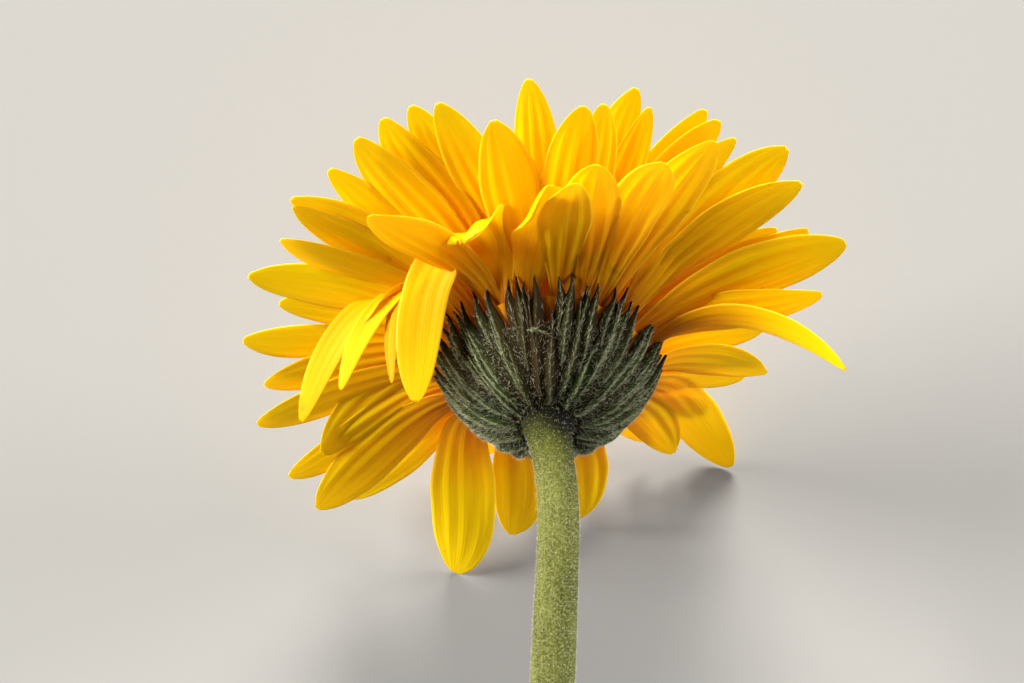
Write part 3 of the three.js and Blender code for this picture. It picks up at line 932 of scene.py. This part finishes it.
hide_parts("involucre")

# Stalk
# The scape: one soft, pale green leafless stem, rounded with faint ribs, that flares into the cup
# at a hairy collar, dark brown partly in its own colour and partly as painted shade under the cup.
# It was cut with a knife on a slant, and the cut shows its pale pith.
STALK_LENGTH = 281
STALK_BELOW_CUP = 0.3
# Distance from the cup, degrees that the stalk rises and turns to the picture's right, and radius
STALK = (
    (0, 35, 0, 4.1),
    (2.5, 33, 8, 3.5),
    (7, 24, 9, 3.2),
    (12, 6, 5, 3.15),
    (17, -7, -1, 3.2),
    (24, -10, -2.5, 3.3),
    (45, -10.5, -2, 3.5),
    (90, -10.5, -1, 3.6),
    (140, -10.5, 0.5, 3.65),
    (190, -11, 1.5, 3.7),
    (240, -11.5, 1, 3.75),
    (STALK_LENGTH, -12, 0, 3.8),
)
RING_SPACING = 2.5
STALK_SIDES = 48
STALK_RIBS = 9
RIB_HEIGHT = 0.05
KNOB_HEIGHT = 0.04
FLARE = 0.2  # extra radius at the cup
FLARE_REACH = 1.5
CUT_SLANT = math.radians(25)
# The collar's dark, partly painted shade under the cup, reaches further down on the side away from the
# key lamp
COLLAR_SLANT = 0.009  # how much lower its right side reaches, as a share of the stalk
INTO_CUP = 0.5  # the stalk is carried on into the cup, so no gap shows between them


def walked_stalk():
    """Distances, radii and places along the stalk's middle, and the ways along, right and up at
    each. It is walked down the picture, so right of it is left in the picture."""
    rows = np.array(STALK, float)
    slope, side = np.radians(rows[:, 1]), np.radians(rows[:, 2])
    way = np.stack((np.sin(side) * np.cos(slope), -np.cos(side) * np.cos(slope), np.sin(slope)), 1)
    step = way[1:] + way[:-1]
    step *= (np.diff(rows[:, 0]) / np.linalg.norm(step, axis=1))[:, None]
    start = in_row((0, 0, -CUP_DEPTH - STALK_BELOW_CUP)) * 1000
    middle = start + np.concatenate((np.zeros((1, 3)), np.cumsum(step, axis=0)))
    spans = []
    for i in range(len(rows) - 1):
        count = max(2, int((rows[i + 1, 0] - rows[i, 0]) / RING_SPACING))
        spans.append(i + np.linspace(0, 1, count, endpoint=False))
    share = np.concatenate((*spans, (len(rows) - 1,))) / (len(rows) - 1)
    place, along = spline_at(middle, share)
    spots = share * (len(rows) - 1)
    distance = np.interp(spots, np.arange(len(rows)), rows[:, 0])
    radius = np.interp(spots, np.arange(len(rows)), rows[:, 3])
    right = np.cross(along, (0, 0, 1))
    right /= np.linalg.norm(right, axis=1)[:, None]
    return distance, radius, place, along, right, np.cross(right, along)


distance, radius, place, along, right, up = walked_stalk()
place[0] -= INTO_CUP * along[0]
radius += FLARE * np.exp(-distance / FLARE_REACH)
angles = np.linspace(0, 2 * np.pi, STALK_SIDES, endpoint=False)
rib = RIB_HEIGHT * np.cos(STALK_RIBS * angles)[None, :] * np.ones_like(radius)[:, None]
knobs = KNOB_HEIGHT * np.sin(0.31 * distance)[:, None] * np.cos(2 * angles + 1)[None, :]
reach = radius[:, None] + rib + knobs
high = reach * np.cos(angles)
wide = reach * np.sin(angles)
# Rings of the cut face: how far in and how far sunk below its rim
CUT_RINGS = ((0.97, -0.05), (0.9, 0.12), (0.7, 0.2), (0.3, 0.3), (0.12, 0.9), (0.02, 1))
slant = np.zeros_like(high)
slant[-1] = -high[-1] * math.tan(CUT_SLANT)
rings = [
    place[:, None]
    + up[:, None] * high[..., None]
    + right[:, None] * wide[..., None]
    + along[:, None] * slant[..., None]
]
for inward, sunk in CUT_RINGS:
    ring = (
        place[-1]
        + up[-1] * high[-1][:, None] * inward
        + right[-1] * wide[-1][:, None] * inward
        + along[-1] * (slant[-1][:, None] * inward - sunk)
    )
    rings.append(ring[None])
points = np.concatenate(rings)
top = points[0].mean(axis=0)
end = points[-1].mean(axis=0)
stalk_faces = tube_faces(len(points), STALK_SIDES)
stalk_points = np.concatenate((points.reshape(-1, 3), (top, end))) * 0.001
grid_u = np.concatenate((distance / STALK_LENGTH, 1 + 0.02 * np.arange(1, 1 + len(CUT_RINGS))))
stalk_uv = np.stack(
    (np.tile(angles / (2 * np.pi), len(grid_u)), np.repeat(grid_u, STALK_SIDES)), axis=1
)
stalk_uv = np.concatenate((stalk_uv, ((0, 0), (0, grid_u[-1]))))
to_left = np.concatenate((np.tile(np.sin(angles), len(grid_u)), (0, 0)))

# Scape skin: soft matt yellow-green rind under a velvet nap, dark brown at the collar, partly its
# own colour and partly painted shade under the cup that reaches further down on the side away
# from the key lamp. The nap's finest hairs, too many to model, are drawn as pale stipple a third
# of a millimetre across, with a sheen on the edges. The cut face is damp white-green pith.
MOTTLES = 1.5 * PER_MM
CLOUDS = 0.26 * PER_MM
STIPPLES = 3.0 * PER_MM
scape_skin, tree = new_material("scape_skin")
_, along = lengthwise_map(tree)
place = add(tree, "ShaderNodeTexCoord").outputs["Object"]
drawn = add(tree, "ShaderNodeMapping", {"Vector": place, "Scale": (1.0, 0.12, 1.0)})
mottle = add(tree, "ShaderNodeTexNoise", {"Vector": drawn, "Scale": MOTTLES, "Detail": 4.0})
broad = add(tree, "ShaderNodeTexNoise", {"Vector": drawn, "Scale": CLOUDS, "Detail": 2.0})
rind = add(tree, "ShaderNodeValToRGB", {"Fac": broad}, stops=((0.3, "#464A15"), (0.7, "#62662A")))
grain = add(tree, "ShaderNodeValToRGB", {"Fac": mottle}, stops=((0.32, "#B4B490"), (0.66, "#FFFFFF")))
grained = add(tree, "ShaderNodeMix", {0: 0.8, 6: rind, 7: grain}, **MULTIPLY)
velvet = add(tree, "ShaderNodeTexNoise", {"Vector": place, "Scale": STIPPLES, "Detail": 2.0})
nap = add(
    tree,
    "ShaderNodeMapRange",
    {"Value": velvet, "From Min": 0.4, "From Max": 0.66, "To Min": 0.0, "To Max": 0.4},
)
downy = add(tree, "ShaderNodeMix", {0: nap, 6: grained, 7: "#9A9C70"}, data_type="RGBA")
side = add(tree, "ShaderNodeAttribute", attribute_name="to_left").outputs["Fac"]
# Painted shade under the cup over the collar's own dark brown: darkest at the cup, and deeper on the
# side away from the key lamp
past_collar = add(
    tree, "ShaderNodeMath", {0: side, 1: COLLAR_SLANT, 2: along}, operation="MULTIPLY_ADD"
)
lengths = add(
    tree,
    "ShaderNodeValToRGB",
    {"Fac": past_collar},
    stops=((0, "#1E150A"), (1, "#FFFFFF"), (0.006, "#403C1C"), (0.018, "#A2A468"), (0.05, "#F6F4DC")),
)
shaded = add(tree, "ShaderNodeMix", {0: 1.0, 6: downy, 7: lengths}, **MULTIPLY)
cut = add(tree, "ShaderNodeMath", {0: along, 1: 1.01}, operation="GREATER_THAN")
scape_colour = add(tree, "ShaderNodeMix", {0: cut, 6: shaded, 7: "#C9CFA0"}, data_type="RGBA")
bump = add(tree, "ShaderNodeBump", {"Height": mottle, "Strength": 0.4, "Distance": 0.00015})
skin = add(
    tree,
    "ShaderNodeBsdfPrincipled",
    {
        "Base Color": scape_colour,
        "Roughness": 0.65,
        "Specular IOR Level": 0.06,
        "Sheen Weight": 0.06,
        "Sheen Roughness": 0.4,
        "Sheen Tint": "#EAE8CC",
        "Normal": bump,
    },
)
add(tree, "ShaderNodeOutputMaterial", {"Surface": skin})

stalk = mesh_piece(
    "cut_stalk", stalk_points, stalk_faces, scape_skin, {"to_left": to_left}, stalk_uv
)
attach(stalk, "root")
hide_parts("stem")

# Down and wool
# Plant hairs, each a single row of dead pale cells: short velvet down that stands off the stalk,
# and longer crimped wool that lies up the ribs of the cup.
plant_hair, tree = new_material("plant_hair")
skin = add(
    tree,
    "ShaderNodeBsdfPrincipled",
    {"Base Color": "#D9D9BE", "Roughness": 0.55, "Specular IOR Level": 0.3},
)
glow = add(tree, "ShaderNodeBsdfTranslucent", {"Color": "#E6E4CC"})
both = add(tree, "ShaderNodeMixShader", {"Fac": 0.4, 1: skin, 2: glow})
add(tree, "ShaderNodeOutputMaterial", {"Surface": both})

tree, given, result = tree_with(
    "plant_hairs",
    {
        "Hairs per square metre": "Float",
        "Length": "Float",
        "Thickness": "Float",
        "Bends": "Int",
        "Crimp": "Float",
        "Lie": "Float",
        "Spread": "Float",
        "Seed": "Int",
        "Material": "Material",
    },
)
wool = add(tree, "GeometryNodeInputNamedAttribute", {"Name": "wool"}, data_type="FLOAT")
density = add(
    tree,
    "ShaderNodeMath",
    {0: wool, 1: given["Hairs per square metre"]},
    operation="MULTIPLY",
)
spots = add(
    tree,
    "GeometryNodeDistributePointsOnFaces",
    {"Mesh": given["Geometry"], "Density": density, "Seed": given["Seed"]},
    distribute_method="RANDOM",
)
grain_parts = {
    axis: add(tree, "GeometryNodeInputNamedAttribute", {"Name": "grain_" + axis.lower()})
    for axis in "XYZ"
}
grain = add(tree, "ShaderNodeCombineXYZ", grain_parts)
lying = add(tree, "ShaderNodeVectorMath", {0: grain, "Scale": given["Lie"]}, operation="SCALE")
stray = add(
    tree,
    "FunctionNodeRandomValue",
    {0: (-1.0, -1.0, -1.0), 1: (1.0, 1.0, 1.0), "Seed": given["Seed"]},
    data_type="FLOAT_VECTOR",
)
strayed = add(tree, "ShaderNodeVectorMath", {0: stray, "Scale": given["Spread"]}, operation="SCALE")
leaning = add(tree, "ShaderNodeVectorMath", {0: lying, 1: strayed}, operation="ADD")
pointing = add(tree, "ShaderNodeVectorMath", {0: leaning, 1: spots.outputs["Normal"]}, operation="ADD")
spin = add(tree, "FunctionNodeRandomValue", {2: 0.0, 3: 6.28, "Seed": given["Seed"]}, data_type="FLOAT")
spun = add(tree, "FunctionNodeAxisAngleToRotation", {"Axis": (0.0, 0.0, 1.0), "Angle": spin})
aimed = add(tree, "FunctionNodeAlignRotationToVector", {"Rotation": spun, "Vector": pointing}, axis="Z")
hair = add(
    tree,
    "GeometryNodeMeshCone",
    {
        "Vertices": 3,
        "Side Segments": given["Bends"],
        "Radius Top": 0.0,
        "Radius Bottom": given["Thickness"],
        "Depth": given["Length"],
    },
)
spot = add(tree, "ShaderNodeSeparateXYZ", {"Vector": add(tree, "GeometryNodeInputPosition")})
up_hair = add(tree, "ShaderNodeMath", {0: spot.outputs["Z"], 1: given["Length"]}, operation="DIVIDE")
bow = add(tree, "ShaderNodeMath", {0: up_hair, 1: 3.1}, operation="MULTIPLY")
bowed = add(tree, "ShaderNodeMath", {0: bow}, operation="SINE")
crimp = add(tree, "ShaderNodeMath", {0: bowed, 1: given["Crimp"]}, operation="MULTIPLY")
bent = add(
    tree,
    "GeometryNodeSetPosition",
    {"Geometry": hair.outputs["Mesh"], "Offset": add(tree, "ShaderNodeCombineXYZ", {"X": crimp})},
)
size = add(
    tree,
    "FunctionNodeRandomValue",
    {2: 0.45, 3: 1.25, "Seed": given["Seed"]},
    data_type="FLOAT",
)
copies = add(
    tree,
    "GeometryNodeInstanceOnPoints",
    {"Points": spots.outputs["Points"], "Instance": bent, "Rotation": aimed, "Scale": size},
)
end_in_mesh(tree, copies, given["Material"], result)

# Hairs of the cup, then of the stalk, in metres
wool_values = {
    "Hairs per square metre": 6.6e6,
    "Length": 0.0009,
    "Thickness": 0.000021,
    "Bends": 2,
    "Crimp": 0.00022,
    "Lie": 2.6,
    "Spread": 0.8,
    "Seed": 7,
    "Material": plant_hair,
}
cup_wool = grown("cup_wool", cup.data.copy(), tree, wool_values)
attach(cup_wool, "root")

BALD_COLLAR = 0.012  # share of the stalk with thinner down, below the cup
stalk_skin = stalk.data.copy()
along_share = stalk_uv[:, 1]
wool = np.where(along_share > 1.0, 0, 1 - 0.8 * np.exp(-along_share / BALD_COLLAR))
stalk_skin.attributes.new("wool", "FLOAT", "POINT").data.foreach_set("value", wool.astype(np.float32))
for axis in "xyz":
    stalk_skin.attributes.new("grain_" + axis, "FLOAT", "POINT")
down_values = {
    "Hairs per square metre": 7.2e6,
    "Length": 0.00045,
    "Thickness": 0.000017,
    "Bends": 1,
    "Crimp": 0.0,
    "Lie": 0.0,
    "Spread": 0.8,
    "Seed": 11,
    "Material": plant_hair,
}
stalk_down = grown("stalk_down", stalk_skin, tree, down_values)
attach(stalk_down, "root")

# Stage
# A plain pale table top under soft studio lamps: one from the upper left, one from the right and
# one low beyond the head, so that light comes through the petals as it does in the photograph.
FLOOR_HALF = 6
floor_mesh = bpy.data.meshes.new("table_top")
corners = [(x * FLOOR_HALF, y * FLOOR_HALF, 0) for x, y in ((-1, -1), (1, -1), (1, 1), (-1, 1))]
floor_mesh.from_pydata(corners, [], [(0, 1, 2, 3)])
painted_table, tree = new_material("painted_table")
paint = add(tree, "ShaderNodeBsdfPrincipled", {"Base Color": "#888683", "Roughness": 0.8})
add(tree, "ShaderNodeOutputMaterial", {"Surface": paint})
floor_mesh.materials.append(painted_table)
floor = bpy.data.objects.new("table_top", floor_mesh)
bpy.context.collection.objects.link(floor)

LAMP_BREADTH = math.radians(25)  # as seen from the flower
ROOM_STRENGTH = 0.22

# Name, the way to the lamp from the flower, strength and colour
LAMPS = (
    ("key_light", (-0.55, 0.12, 0.26), 7, "#FFFEFA"),
    ("fill_light", (0.55, 0.15, 0.17), 4, "#F8FAFF"),
    ("glow_light", (0, 0.5, 0.3), 7.3, "#FFFDF6"),
)
for name, away, strength, colour in LAMPS:
    light = bpy.data.lights.new(name, "SUN")
    light.angle = LAMP_BREADTH
    light.energy = strength
    light.color = linear(colour)[:3]
    lamp = bpy.data.objects.new(name, light)
    lamp.location = HEAD_AT + Vector(away)
    lamp.rotation_euler = (-Vector(away)).to_track_quat("-Z", "Y").to_euler()
    bpy.context.collection.objects.link(lamp)
world = bpy.data.worlds.new("soft_room")
world.use_nodes = True
room = world.node_tree.nodes["Background"].inputs
room["Color"].default_value = linear("#ECEEF2")
room["Strength"].default_value = ROOM_STRENGTH
bpy.context.scene.world = world
